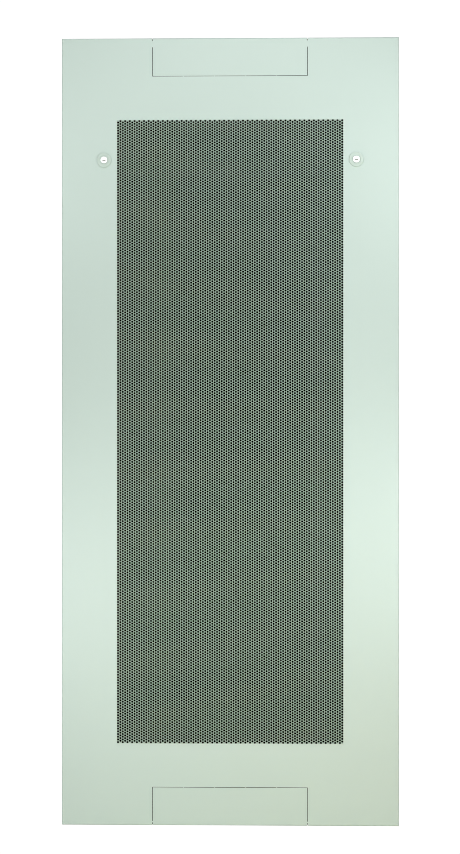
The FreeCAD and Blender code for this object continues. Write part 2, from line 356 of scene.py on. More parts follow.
def merged(*lines: ArrayLike) -> np.ndarray:
    """Places along one axis in order, with equal ones made one."""
    return np.unique(np.round(np.concatenate(lines), SAME_PLACE))


def middles(places: np.ndarray) -> np.ndarray:
    """Places half-way between neighbours."""
    return (places[1:] + places[:-1]) / 2


# Finishes


class NodeSheet:
    """A node tree that is filled in one call a node."""

    def __init__(self, tree: bpy.types.NodeTree) -> None:
        """Keeps the tree to fill."""
        self.tree = tree

    def add(self, kind: str, inputs: dict | None = None, **settings: object) -> bpy.types.Node:
        """Adds a node, sets its own settings, and fills its inputs.

        Args:
            kind: Blender's name of the node type.
            inputs: value or output socket for each input, by name or number.
            settings: attributes of the node.

        Returns:
            The new node.
        """
        node = self.tree.nodes.new(kind)
        for name, value in settings.items():
            setattr(node, name, value)
        for name, value in (inputs or {}).items():
            if isinstance(value, Socket):
                self.tree.links.new(value, node.inputs[name])
            else:
                node.inputs[name].default_value = value
        return node

    def math(self, operation: str, first: Value, second: Value = 0.0) -> Socket:
        """The output of one Math node."""
        return self.add("ShaderNodeMath", {0: first, 1: second}, operation=operation).outputs[0]

    def mixed(self, share: Value, first: Value, second: Value, blend: str = "MIX") -> Socket:
        """The colour output of one Mix node, from first at share 0 to second at share 1."""
        inputs = {0: share, 6: first, 7: second}
        return self.add("ShaderNodeMix", inputs, data_type="RGBA", blend_type=blend).outputs[2]

    def spread(self, value: Value, low: float, high: float) -> Socket:
        """A value held within 0..1 and mapped to low..high."""
        return self.add("ShaderNodeMapRange", {"Value": value, "To Min": low, "To Max": high}).outputs[0]

    def noise(self, place: Socket, scale: Value, detail: float) -> Socket:
        """The value of one Noise node."""
        return self.add("ShaderNodeTexNoise", {"Vector": place, "Scale": scale, "Detail": detail}).outputs[0]

    def bump(self, height: Socket, distance: float) -> Socket:
        """The normal of one Bump node."""
        return self.add("ShaderNodeBump", {"Height": height, "Distance": distance}).outputs[0]

    def effect(self, tree: bpy.types.NodeTree, **values: float) -> bpy.types.bpy_prop_collection:
        """The outputs of a shared effect, placed with its own values, whose names have _ for a space."""
        inputs = {name.replace("_", " "): value for name, value in values.items()}
        return self.add("ShaderNodeGroup", inputs, node_tree=tree).outputs

    def either(self, share: Socket, first: bpy.types.Node, second: bpy.types.Node) -> bpy.types.Node:
        """A mix of two shader nodes, from first at share 0 to second at share 1."""
        return self.add("ShaderNodeMixShader", {0: share, 1: first.outputs[0], 2: second.outputs[0]})


class EffectSheet(NodeSheet):
    """The inside of a shader node group with named float sockets."""

    def __init__(self, name: str, inputs: dict[str, float]) -> None:
        """Makes the group and its inputs.

        Args:
            name: name of the group.
            inputs: default value of each input.
        """
        super().__init__(bpy.data.node_groups.new(name, "ShaderNodeTree"))
        for label, value in inputs.items():
            self._socket(label, "INPUT").default_value = value
        self.given = self.add("NodeGroupInput").outputs
        self.place = self.add("ShaderNodeTexCoord").outputs["Object"]

    def _socket(self, label: str, direction: str) -> bpy.types.NodeTreeInterfaceSocket:
        """A new float socket of the group."""
        return self.tree.interface.new_socket(name=label, in_out=direction, socket_type="NodeSocketFloat")

    def leave(self, **values: Socket) -> bpy.types.NodeTree:
        """Makes an output for each value and leads the value there.

        Args:
            values: what the group puts out, by the name of the output.

        Returns:
            The finished group.
        """
        for label in values:
            self._socket(label, "OUTPUT")
        self.add("NodeGroupOutput", values)
        return self.tree


class Effects:
    """Shader node groups that several finishes share, built once."""

    FINE_DETAIL = 2.0
    CLOUD_DETAIL = 3.0
    BROAD_IN_TONE = 0.7
    GRAIN_IN_TONE = 0.3
    GRAIN_IN_HEIGHT = 0.35
    DRAWN_ALONG_X = (0.06, 1.0, 1.0)

    def __init__(self) -> None:
        """Builds every group."""
        self.peel = self._peel()
        self.cloud = self._cloud()
        self.lathe = self._lathe()

    def _peel(self) -> bpy.types.NodeTree:
        """Sprayed coat: broad tone, the soft waves of the cured film, and its fine grain.

        Returns:
            The group, with a tone, a gloss and a height.
        """
        scales = {"Broad": 7.0, "Waves": 420.0, "Grain": 1900.0}
        sheet = EffectSheet("coat_peel", scales)
        broad, waves, grain = (
            sheet.noise(sheet.place, sheet.given[label], self.FINE_DETAIL) for label in scales)
        broad_tone = sheet.math("MULTIPLY", broad, self.BROAD_IN_TONE)
        tone = sheet.math("ADD", broad_tone, sheet.math("MULTIPLY", grain, self.GRAIN_IN_TONE))
        height = sheet.math("ADD", waves, sheet.math("MULTIPLY", grain, self.GRAIN_IN_HEIGHT))
        return sheet.leave(Tone=tone, Gloss=waves, Height=height)

    def _cloud(self) -> bpy.types.NodeTree:
        """Plated or bare metal: cloudy tone, and fine drawn lines along X.

        Returns:
            The group, with a tone and the lines.
        """
        sheet = EffectSheet("metal_cloud", {"Cloud": 160.0, "Lines": 1500.0})
        drawn = sheet.add("ShaderNodeMapping", {"Vector": sheet.place, "Scale": self.DRAWN_ALONG_X})
        cloud = sheet.noise(sheet.place, sheet.given["Cloud"], self.CLOUD_DETAIL)
        lines = sheet.noise(drawn.outputs[0], sheet.given["Lines"], self.FINE_DETAIL)
        return sheet.leave(Tone=cloud, Lines=lines)

    def _lathe(self) -> bpy.types.NodeTree:
        """Turned face: distance from an axis along Y, as fine rings, and its square as a low dome.

        Returns:
            The group, with the rings and the dome.
        """
        sheet = EffectSheet("lathe_rings", {"Centre X": 0.0, "Centre Z": 0.0, "Rings": 2600.0})
        place = sheet.add("ShaderNodeSeparateXYZ", {0: sheet.place}).outputs
        squares = []
        for axis in "XZ":
            away = sheet.math("SUBTRACT", place[axis], sheet.given[f"Centre {axis}"])
            squares.append(sheet.math("MULTIPLY", away, away))
        square = sheet.math("ADD", *squares)
        radius = sheet.math("SQRT", square)
        wave = sheet.math("SINE", sheet.math("MULTIPLY", radius, sheet.given["Rings"]))
        return sheet.leave(Rings=sheet.spread(wave, 0.0, 1.0), Dome=sheet.math("MULTIPLY", square, -1.0))


def opaque(colour: Colour, share: float = 1.0) -> tuple[float, ...]:
    """A share of a colour, with full alpha."""
    return tuple(channel * share for channel in colour) + (1.0,)


def new_material(name: str) -> tuple[bpy.types.Material, NodeSheet]:
    """An empty node material.

    Args:
        name: name of the material.

    Returns:
        The material and the sheet of its nodes.
    """
    material = bpy.data.materials.new(name)
    material.use_nodes = True
    material.node_tree.nodes.clear()
    return material, NodeSheet(material.node_tree)


def ended(sheet: NodeSheet, shader: bpy.types.Node) -> None:
    """Leads a shader to the material's surface."""
    sheet.add("ShaderNodeOutputMaterial", {"Surface": shader.outputs[0]})


@dataclass(frozen=True)
class Finish(ABC):
    """What every finish has: a name, a colour and a way to fill its shader."""

    name: str
    colour: Colour

    @abstractmethod
    def look(self, sheet: NodeSheet, effects: Effects) -> dict[str, Value]:
        """The shader's inputs, worked out on the material's sheet from the shared effects."""

    def material(self, effects: Effects) -> bpy.types.Material:
        """Builds the material.

        Args:
            effects: the shared node groups.

        Returns:
            The finished material.
        """
        material, sheet = new_material(self.name)
        ended(sheet, sheet.add("ShaderNodeBsdfPrincipled", self.look(sheet, effects)))
        return material


@dataclass(frozen=True)
class PowderCoat(Finish):
    """Matt sprayed coat with a faint orange peel.

    The web colour is what the punched webs keep of the colour of the flat sheet: painted shade that darkens
    the field among the holes.
    """

    tone: float = 0.012
    roughness: tuple[float, float] = (0.44, 0.56)
    peel: float = 0.018 * MM
    web_colour: Colour | None = None

    def look(self, sheet: NodeSheet, effects: Effects) -> dict[str, Value]:
        """Tone, gloss and height of the peel, and painted shade that darkens the webs.

        Args:
            sheet: the material's nodes.
            effects: the shared node groups.

        Returns:
            The shader's inputs.
        """
        peel = sheet.effect(effects.peel)
        shades = (opaque(self.colour, 1 - self.tone), opaque(self.colour, 1 + self.tone))
        colour = sheet.mixed(peel["Tone"], *shades)
        # Painted shade: the webs among the holes take a darker colour in place of the shade between the
        # holes.
        if self.web_colour is not None:
            web = sheet.add("ShaderNodeAttribute", attribute_name=WEB_ATTRIBUTE).outputs["Fac"]
            colour = sheet.mixed(web, colour, opaque(self.web_colour), "MULTIPLY")
        return {
            "Base Color": colour,
            "Roughness": sheet.spread(peel["Gloss"], *self.roughness),
            "Normal": sheet.bump(peel["Height"], self.peel),
        }


@dataclass(frozen=True)
class PlatedMetal(Finish):
    """Plated or bare metal with cloudy tone and fine drawn lines."""

    stain: Colour
    roughness: tuple[float, float] = (0.26, 0.42)
    lines: float = 0.004 * MM

    def look(self, sheet: NodeSheet, effects: Effects) -> dict[str, Value]:
        """Clouds from the stain to the colour, rougher where stained, with the lines as height.

        Args:
            sheet: the material's nodes.
            effects: the shared node groups.

        Returns:
            The shader's inputs.
        """
        cloud = sheet.effect(effects.cloud)
        return {
            "Base Color": sheet.mixed(cloud["Tone"], opaque(self.stain), opaque(self.colour)),
            "Metallic": 1.0,
            "Roughness": sheet.spread(cloud["Tone"], *reversed(self.roughness)),
            "Normal": sheet.bump(cloud["Lines"], self.lines),
        }


@dataclass(frozen=True)
class TurnedPlate(Finish):
    """Bright plating on a face turned on a lathe: fine rings on a low dome about one axis."""

    centre_x: float
    centre_z: float
    roughness: tuple[float, float] = (0.16, 0.26)
    dull_share: float = 0.93
    rings: float = 0.003 * MM
    dome: float = 6.0

    def look(self, sheet: NodeSheet, effects: Effects) -> dict[str, Value]:
        """Clouds from a duller to the full colour, with rings and dome added up as height.

        Args:
            sheet: the material's nodes.
            effects: the shared node groups.

        Returns:
            The shader's inputs.
        """
        lathe = sheet.effect(effects.lathe, Centre_X=self.centre_x, Centre_Z=self.centre_z)
        cloud = sheet.effect(effects.cloud)
        rings = sheet.math("MULTIPLY", lathe["Rings"], self.rings)
        height = sheet.math("ADD", rings, sheet.math("MULTIPLY", lathe["Dome"], self.dome))
        dull = opaque(self.colour, self.dull_share)
        return {
            "Base Color": sheet.mixed(cloud["Tone"], dull, opaque(self.colour)),
            "Metallic": 1.0,
            "Roughness": sheet.spread(cloud["Tone"], *self.roughness),
            "Normal": sheet.bump(height, 1.0),
        }


SHEET_COLOUR: Colour = (0.587, 0.715, 0.669)
SHEET_COAT = PowderCoat("sheet_coat", SHEET_COLOUR)
# The webs' coat: the sheet's colour darkened among the holes as painted shade.
SHADED_WEB_COAT = PowderCoat("web_coat", SHEET_COLOUR, web_colour=(0.484, 0.545, 0.495))
HOUSING_COAT = PowderCoat("housing_coat", (0.560, 0.682, 0.622), tone=0.02, roughness=(0.32, 0.42))
ZINC = PlatedMetal("zinc_plate", (0.64, 0.66, 0.69), (0.53, 0.54, 0.54))
# The wafers' brass darkened to near black: painted shade for the dark keyway.
SHADED_WAFER_BRASS = PlatedMetal("wafer_brass", (0.25, 0.24, 0.22), (0.18, 0.17, 0.155))
EARTH_BRASS = PlatedMetal("earth_brass", (0.76, 0.58, 0.30), (0.62, 0.44, 0.21), roughness=(0.30, 0.46))
NICKEL: Colour = (0.86, 0.87, 0.86)


# Pieces


def piece(name: str, skin: Skin, material: bpy.types.Material, body: str, node: str,
          sharp: float | None = None) -> None:
    """Makes a mesh piece from whole arrays, ties it to its body and hides the solid it stands for.

    Args:
        name: name of the piece.
        skin: its surface.
        material: its finish.
        body: the body it moves with.
        node: the solid it stands for.
        sharp: angle in degrees above which an edge is shaded sharp.
    """
    mesh = bpy.data.meshes.new(name)
    corners = np.concatenate([block.ravel() for block in skin.faces]).astype(np.int32)
    sizes = np.concatenate([np.full(len(block), block.shape[1]) for block in skin.faces])
    starts = np.concatenate([[0], np.cumsum(sizes)[:-1]]).astype(np.int32)
    smooth = np.concatenate([np.full(len(block), not flat) for block, flat in zip(skin.faces, skin.flat)])
    mesh.vertices.add(len(skin.points))
    mesh.vertices.foreach_set("co", skin.points.astype(np.float32).ravel())
    mesh.loops.add(len(corners))
    mesh.loops.foreach_set("vertex_index", corners)
    mesh.polygons.add(len(sizes))
    mesh.polygons.foreach_set("loop_start", starts)
    mesh.polygons.foreach_set("use_smooth", smooth)
    mesh.update(calc_edges=True)
    if skin.web is not None:
        attribute = mesh.attributes.new(WEB_ATTRIBUTE, "FLOAT", "POINT")
        attribute.data.foreach_set("value", skin.web.astype(np.float32))
    if sharp is not None:
        mesh.set_sharp_from_angle(angle=math.radians(sharp))
    mesh.materials.append(material)
    made = bpy.data.objects.new(name, mesh)
    bpy.context.scene.collection.objects.link(made)
    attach(made, body)
    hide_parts(node)
    LOG.info("%s: %d points, %d faces, on %s", name, len(skin.points), len(sizes), body)


def joint_axis(name: str) -> Vector:
    """The place of a joint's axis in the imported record."""
    joints = frame["record"]["behaviour"]["joints"]
    return Vector(next(joint["pos_m"] for joint in joints if joint["name"] == name))


def dressed(node: str, material: bpy.types.Material) -> None:
    """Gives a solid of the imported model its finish.

    Args:
        node: name of the solid.
        material: its finish.
    """
    solid = frame["nodes"][node]
    if not solid.material_slots:
        solid.data.materials.append(material)
    for slot in solid.material_slots:
        slot.material = material
    LOG.info("%s: dressed as %s", node, material.name)


@dataclass
class PerforatedField:
    """Round holes in upright columns, each second one half a pitch higher, in a rectangle of the face."""

    columns: int = 96
    holes: int = 231
    column_pitch: float = 3.5 * MM
    hole_pitch: float = 4.0 * MM
    hole_diameter: float = 3.0 * MM
    hole_sides: int = 8
    margin: float = 0.5 * MM
    bands: int = 6

    @property
    def middle_z(self) -> float:
        """Height of the middle of the field, which is the middle of the sheet."""
        low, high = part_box(SHEET_NODE)
        return (low.z + high.z) / 2

    @property
    def half_width(self) -> float:
        """Half the width of the rectangle with its plain margin."""
        return ((self.columns - 1) * self.column_pitch + self.hole_diameter) / 2 + self.margin

    @property
    def half_height(self) -> float:
        """Half the height of the rectangle with its plain margin."""
        return ((self.holes - 0.5) * self.hole_pitch + self.hole_diameter) / 2 + self.margin

    @property
    def ends(self) -> tuple[float, float]:
        """Z of the rectangle's lower and upper edge."""
        return self.middle_z - self.half_height, self.middle_z + self.half_height

    def _column_x(self, column: np.ndarray) -> np.ndarray:
        """X of columns by their numbers, or of places between them by fractions."""
        return (column - (self.columns - 1) / 2) * self.column_pitch

    def _rims(self, first: int, last: int, left: float, right: float) -> np.ndarray:
        """Points of every rim in a band, with one extra column and row of rims on each side.

        A rim is a regular polygon of the round hole's area. Those of the extra columns and rows are pressed
        flat on to the band's edges, so that the webs end there.

        Args:
            first: number of the first column.
            last: number of the last column.
            left: X of the band's left edge.
            right: X of its right edge.

        Returns:
            Columns, rows, places round the rim, and X, Z.
        """
        column = np.arange(first - 1, last + 2)
        row = np.arange(-1, self.holes + 1)
        turn = (np.arange(self.hole_sides) + 0.5) * FULL_TURN / self.hole_sides
        area_share = self.hole_sides * math.sin(FULL_TURN / self.hole_sides) / FULL_TURN
        reach = self.hole_diameter / 2 / math.sqrt(area_share)
        lowest = self.middle_z - (self.holes - 0.5) * self.hole_pitch / 2
        x = self._column_x(column)[:, None, None]
        z = (lowest + self.hole_pitch * (row + column[:, None] % 2 / 2))[:, :, None]
        bottom, top = self.ends
        rims_x = np.clip(x + reach * np.cos(turn) + 0 * z, left, right)
        rims_z = np.clip(z + reach * np.sin(turn), bottom, top)
        rims_x[0], rims_x[-1] = left, right
        rims_z[:, 0], rims_z[:, -1] = bottom, top
        return np.stack([rims_x, rims_z], axis=3)

    def _webs(self, numbers: np.ndarray, first: int) -> np.ndarray:
        """Triangles of the sheet between the rims.

        Each hole has a four-sided web to the hole above it, and on each side a six-sided one between itself,
        the hole above and the neighbour column's hole that stands half a pitch higher than itself. A web's
        corners are given as rims and places round them, counted from the right and upwards.

        Args:
            numbers: point numbers as columns, rows and places round the rim.
            first: number of the band's first column.

        Returns:
            One row of three point numbers a triangle.
        """
        low, up = numbers[:, :-1], numbers[:, 1:]
        high_column = (np.arange(first - 1, first - 1 + len(numbers)) % 2 == 1)[:, None, None]
        on_right = np.where(high_column[:-1], up[1:], low[1:])
        on_left = np.where(high_column[1:], up[:-1], low[:-1])
        webs = (
            ((low[1:-1], 1), (up[1:-1], 6), (up[1:-1], 5), (low[1:-1], 2)),
            ((low[:-1], 1), (low[:-1], 0), (on_right, 4), (on_right, 3), (up[:-1], 7), (up[:-1], 6)),
            ((low[1:], 2), (up[1:], 5), (up[1:], 4), (on_left, 0), (on_left, 7), (low[1:], 3)),
        )
        fans = []
        for web in webs:
            hub, *others = (rims[..., place].ravel() for rims, place in web)
            fans += [np.stack([hub, *pair], axis=1) for pair in zip(others, others[1:])]
        return np.concatenate(fans)

    def band(self, index: int, front: float, back: float) -> Skin:
        """One band of the field: a group of columns, cut off half-way to the next column.

        Args:
            index: number of the band from the left.
            front: Y of the outer face.
            back: Y of the inner face.

        Returns:
            The closed band.
        """
        share = self.columns // self.bands
        first, last = index * share, (index + 1) * share - 1
        left, right = self._column_x(np.array([first - 0.5, last + 0.5]))
        left = -self.half_width if index == 0 else left
        right = self.half_width if index == self.bands - 1 else right
        rims = self._rims(first, last, left, right)
        real = np.zeros(rims.shape[:3], dtype=bool)
        real[1:-1, 1:-1] = True
        spots = np.round(rims.reshape(-1, 2), SAME_PLACE)
        places, kept, numbers = np.unique(spots, axis=0, return_index=True, return_inverse=True)
        triangles = self._webs(numbers.reshape(rims.shape[:3]), first)
        sides = places[triangles[:, 1:]] - places[triangles[:, :1]]
        area = sides[:, 0, 0] * sides[:, 1, 1] - sides[:, 0, 1] * sides[:, 1, 0]
        triangles = triangles[area > NO_AREA]
        border = np.array([self.half_width, self.half_height]) - HAIRBREADTH
        web = (np.abs(places - (0.0, self.middle_z)) < border).all(axis=1)
        outer, inner = at_station(places, front), at_station(places, back)
        return closed_sheet(outer, inner, triangles, real.ravel()[kept], web.astype(float))


@dataclass
class FoldedTray:
    """The sheet around the perforated field: face, bends, flanges and lips, punched flat and then folded.

    A grid of stations is laid over the flat blank. Cells at slits and holes are left out, and the stations
    past each bend line are carried round the bend. Side and end flanges share their depths, so that they
    meet point on point in the welded corners. hole_square and hole_frame are shares of a hole's radius: half
    the square of cells left out for the hole, and half the frame within which the grid is drawn to its rim.
    """

    field_of_holes: PerforatedField
    low: Vector = field(default_factory=lambda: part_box(SHEET_NODE)[0])
    high: Vector = field(default_factory=lambda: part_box(SHEET_NODE)[1])
    sheet: float = 1.0 * MM
    bend_inside: float = 1.0 * MM
    bend_steps: int = 6
    lip_width: float = 15.0 * MM
    lip_end_gap: float = 8.0 * MM
    lip_corner: float = 5.0 * MM
    bend_guard: float = 0.4 * MM
    entry_width: float = 230.0 * MM
    entry_height: float = 56.5 * MM
    entry_strokes: int = 5
    slit: float = 0.8 * MM
    micro_joint: float = 1.0 * MM
    top_notch: float = 4.4 * MM
    top_bridge: float = 9.0 * MM
    bottom_notch: float = 4.2 * MM
    bottom_bridge: float = 2.0 * MM
    lock: Vector = field(default_factory=lambda: joint_axis("right_lock_turn"))
    lock_hole: float = 18.2 * MM
    lock_hole_flats: float = 15.8 * MM
    locating_x: float = 190.0 * MM
    locating_hole: float = 9.0 * MM
    hole_steps: int = 8
    hole_square: float = 0.6
    hole_frame: float = 1.4

    @property
    def half_width(self) -> float:
        """Half the panel's width."""
        return self.high.x

    @property
    def bend_outside(self) -> float:
        """Outside radius of a bend."""
        return self.bend_inside + self.sheet

    @property
    def stroke(self) -> float:
        """Distance between the micro-joints along a knock-out."""
        return self.entry_width / self.entry_strokes

    def _hole_lines(self, centre: float, diameter: float) -> np.ndarray:
        """Grid lines through and around a hole: its square in steps, and its frame."""
        square = np.linspace(-self.hole_square, self.hole_square, self.hole_steps + 1)
        return centre + np.concatenate([[-self.hole_frame], square, [self.hole_frame]]) * (diameter / 2)

    def _face_lines(self) -> np.ndarray:
        """Grid lines on the face from left to right.

        Returns:
            X of each line.
        """
        entry, half_slit, half_joint = self.entry_width / 2, self.slit / 2, self.micro_joint / 2
        joints = -entry + self.stroke * np.arange(1, self.entry_strokes)
        edge = self.half_width - self.bend_outside
        positive = np.concatenate([
            [entry - half_slit, entry + half_slit, self.field_of_holes.half_width],
            [edge - self.bend_guard, edge],
            self._hole_lines(self.lock.x, self.lock_hole),
            self._hole_lines(self.locating_x, self.locating_hole),
        ])
        corner_joint = [entry - self.micro_joint]
        return merged(positive, -positive, joints - half_joint, joints + half_joint, corner_joint)

    def _height_lines(self) -> np.ndarray:
        """Grid lines on the face from the bottom up.

        Returns:
            Z of each line.
        """
        top = self.high.z
        ends = np.array([
            self.bend_outside, self.bend_outside + self.bend_guard,
            self.entry_height - self.slit / 2, self.entry_height + self.slit / 2,
            self.lip_end_gap, self.lip_end_gap + self.lip_corner,
        ])
        slits_low = np.array([self.bottom_notch, self.bottom_notch + self.bottom_bridge])
        slits_high = top - np.array([self.top_notch, self.top_notch + self.top_bridge])
        lock = self._hole_lines(self.lock.z, self.lock_hole)
        return merged(ends, top - ends, slits_low, slits_high, self.field_of_holes.ends, lock)

    def _section(self, radius: float, lipped: bool) -> np.ndarray:
        """Section of a fold: the front bend's arc, the flange at every depth, and the free end.

        A side ends in the rear bend's arc and the lip's edge, a top or bottom in the flange's edge.

        Args:
            radius: outside or inside radius of the bends.
            lipped: whether the fold has a lip, as at the sides.

        Returns:
            One row (distance in from the panel's outer limit, Y) a station, from the face outwards.
        """
        outside = self.bend_outside
        turn = np.linspace(0, QUARTER_TURN, self.bend_steps + 1)[1:]
        cosine, sine = radius * np.cos(turn), radius * np.sin(turn)
        front, rear = self.low.y + outside, self.high.y - outside
        depths = np.append(self._hole_lines(0.0, self.locating_hole), rear)
        parts = [(outside - sine, front - cosine), (np.full(len(depths), outside - radius), depths)]
        if lipped:
            parts += [(outside - cosine, rear + sine), ([self.lip_width], [rear + radius])]
        else:
            parts += [([outside - radius], [self.high.y])]
        return np.concatenate([np.stack(part, axis=1) for part in parts])

    def _flat_places(self, outer: np.ndarray) -> np.ndarray:
        """How far each station of a fold lies from the face's edge on the flat blank: lengths added up."""
        edge = [[self.bend_outside, self.low.y]]
        return np.cumsum(np.linalg.norm(np.diff(outer, axis=0, prepend=edge), axis=1))

    def _stations(self, face: np.ndarray, start: float, end: float,
                  lipped: bool) -> tuple[np.ndarray, np.ndarray, np.ndarray]:
        """Stations over the whole blank in one direction: a fold, the face, and the fold mirrored.

        Args:
            face: places of the grid lines on the face.
            start: the panel's outer limit where the face's lines start.
            end: the panel's outer limit where they end.
            lipped: whether the folds have lips.

        Returns:
            The flat place of each station, then its (place, Y) on the outer and on the inner side.
        """
        outer, inner = (self._section(radius, lipped) for radius in (self.bend_outside, self.bend_inside))
        beyond = self._flat_places(outer)
        flat = np.concatenate([face[0] - beyond[::-1], face, face[-1] + beyond])
        paths = []
        for section, y in ((outer, self.low.y), (inner, self.low.y + self.sheet)):
            level = np.stack([face, np.full(len(face), y)], axis=1)
            paths.append(np.concatenate([section[::-1] + (start, 0), level, section * (-1, 1) + (end, 0)]))
        return flat, paths[0], paths[1]

    def _solid(self, u: np.ndarray, v: np.ndarray, depth: np.ndarray) -> np.ndarray:
        """Which cells of the blank hold metal.

        Args:
            u: flat place of each cell's middle across the blank.
            v: flat place of each cell's middle up the blank.
            depth: Y of each cell row's middle.

        Returns:
            True for metal, one row a place across.
        """
        x, z = u[:, None], v[None, :]
        top = self.high.z
        reach, from_end = np.abs(x), np.minimum(z, top - z)
        holes = self.field_of_holes
        punched = (reach < holes.half_width) & (np.abs(z - holes.middle_z) < holes.half_height)
        fold = self._section(self.bend_outside, lipped=False)
        bend_length = self._flat_places(fold)[self.bend_steps - 1]
        flange_start = self.half_width - self.bend_outside + bend_length
        lip_start = flange_start + self.high.y - self.low.y - 2 * self.bend_outside
        punched |= (reach > flange_start) & (from_end < self.bend_outside - bend_length)
        punched |= (reach > lip_start) & (from_end < self.lip_end_gap)
        punched |= self._slits(x, z, self.bottom_notch, self.bottom_bridge)
        punched |= self._slits(x, top - z, self.top_notch, self.top_bridge)
        square = self.hole_square * self.lock_hole / 2
        punched |= np.maximum(np.abs(reach - self.lock.x), np.abs(z - self.lock.z)) < square
        square = self.hole_square * self.locating_hole / 2
        in_bottom = (z < self.bottom_notch) & (np.abs(depth)[None, :] < square)
        punched |= (np.abs(reach - self.locating_x) < square) & in_bottom
        return ~punched

    def _slits(self, x: np.ndarray, level: np.ndarray, notch: float, bridge: float) -> np.ndarray:
        """Cells of one knock-out's slits: edge notches, side slits, and strokes between micro-joints.

        Args:
            x: place across the blank.
            level: height above the knock-out's own edge.
            notch: how far the edge notch runs in.
            bridge: metal left between the edge notch and the side slit.

        Returns:
            True where metal is cut away.
        """
        entry, half_slit, reach = self.entry_width / 2, self.slit / 2, np.abs(x)
        side_slit = (level > notch + bridge) & (level < self.entry_height + half_slit)
        side = (np.abs(reach - entry) < half_slit) & ((level < notch) | side_slit)
        along = (x + entry) / self.stroke
        near_joint = np.abs(along - np.round(along)) * self.stroke < self.micro_joint / 2
        inner_joint = near_joint & (reach < entry - self.stroke / 2)
        corner_joint = x > entry - self.micro_joint
        stroked = (reach < entry - half_slit) & ~inner_joint & ~corner_joint
        return side | (stroked & (np.abs(level - self.entry_height) < half_slit))

    def _drawn(self, a: np.ndarray, b: np.ndarray, centre: tuple[float, float], diameter: float,
               flats: float) -> tuple[np.ndarray, np.ndarray]:
        """Grid points around a hole drawn on to its rim.

        Points of the square left out for the hole go to the rim, points of the frame around it stay, and
        those between move by the share of the way that they stand inside the frame.

        Args:
            a: first coordinate of the points.
            b: second coordinate.
            centre: middle of the hole.
            diameter: width of the hole.
            flats: height of the hole over its flats.

        Returns:
            The new coordinates.
        """
        radius = diameter / 2
        da, db = a - centre[0], b - centre[1]
        inside = self.hole_frame * radius - np.maximum(np.abs(da), np.abs(db))
        share = np.clip(inside / ((self.hole_frame - self.hole_square) * radius), 0, 1)
        to_rim = radius / np.maximum(np.hypot(da, db), HAIRBREADTH)
        rim_b = np.clip(db * to_rim, -flats / 2, flats / 2)
        return centre[0] + da + share * (da * to_rim - da), centre[1] + db + share * (rim_b - db)

    def _layer(self, across: np.ndarray, up: np.ndarray, in_flange: np.ndarray) -> np.ndarray:
        """Points of one side of the folded sheet, with the lips' ends cut back and the holes drawn round.

        Args:
            across: (x, y) of the stations across.
            up: (z, y) of the stations up.
            in_flange: true at the stations up that lie in the bottom flange.

        Returns:
            One row a point, the stations up running fastest.
        """
        x = np.repeat(across[:, :1], len(up), axis=1)
        y = np.maximum(across[:, 1:], up[:, 1])
        z = np.repeat(up[None, :, 0], len(across), axis=0)
        from_end = np.minimum(up[:, 0], self.high.z - up[:, 0])
        past_gap = np.clip((from_end - self.lip_end_gap) / self.lip_corner, 0, 1)
        lip_edge = self.half_width - self.lip_width + self.lip_corner * (1 - past_gap)
        x[[0, -1]] = np.sign(x[[0, -1]]) * lip_edge
        for side in Side:
            lock = (side.value * self.lock.x, self.lock.z)
            pin = (side.value * self.locating_x, 0.0)
            on_face = ~in_flange & (np.abs(x - lock[0]) < self.lock_hole)
            face_x, face_z = self._drawn(x, z, lock, self.lock_hole, self.lock_hole_flats)
            flange_x, flange_y = self._drawn(x, y, pin, self.locating_hole, self.locating_hole)
            x = np.where(on_face, face_x, np.where(in_flange, flange_x, x))
            z = np.where(on_face, face_z, z)
            y = np.where(in_flange, flange_y, y)
        return np.stack([x, y, z], axis=2).reshape(-1, 3)

    def skin(self) -> Skin:
        """The folded sheet with its punched cells left out.

        Returns:
            The closed surface.
        """
        u, *across = self._stations(self._face_lines(), -self.half_width, self.half_width, lipped=True)
        v, *up = self._stations(self._height_lines(), 0.0, self.high.z, lipped=False)
        in_flange = v < self.bend_outside - HAIRBREADTH
        layers = [self._layer(*paths, in_flange) for paths in zip(across, up)]
        solid = self._solid(middles(u), middles(v), middles(up[0][:, 1]))
        grid = np.arange(len(u) * len(v)).reshape(len(u), len(v))
        faces = np.stack([grid[:-1, :-1], grid[1:, :-1], grid[1:, 1:], grid[:-1, 1:]], axis=2)[solid]
        both = np.round(np.concatenate(layers, axis=1), SAME_PLACE)
        places, numbers = np.unique(both, axis=0, return_inverse=True)
        plain = np.zeros(len(places))
        return closed_sheet(places[:, :3], places[:, 3:], numbers.reshape(-1)[faces], plain > 0, plain)


@dataclass
class PanelSheet:
    """The whole punched sheet: the folded tray and the perforated bands that fill its window."""

    tray: FoldedTray = field(default_factory=lambda: FoldedTray(PerforatedField()))
    sharp_bend: float = 32.0

    def build(self, sheet_coat: bpy.types.Material, web_coat: bpy.types.Material) -> None:
        """Makes the tray and the bands.

        Args:
            sheet_coat: finish of the flat sheet.
            web_coat: finish of the punched webs.
        """
        tray, holes = self.tray, self.tray.field_of_holes
        piece("folded_tray", tray.skin(), sheet_coat, ROOT_BODY, SHEET_NODE, self.sharp_bend)
        for index in range(holes.bands):
            band = holes.band(index, tray.low.y, tray.low.y + tray.sheet)
            piece(f"perforated_band_{index + 1}", band, web_coat, ROOT_BODY, SHEET_NODE)


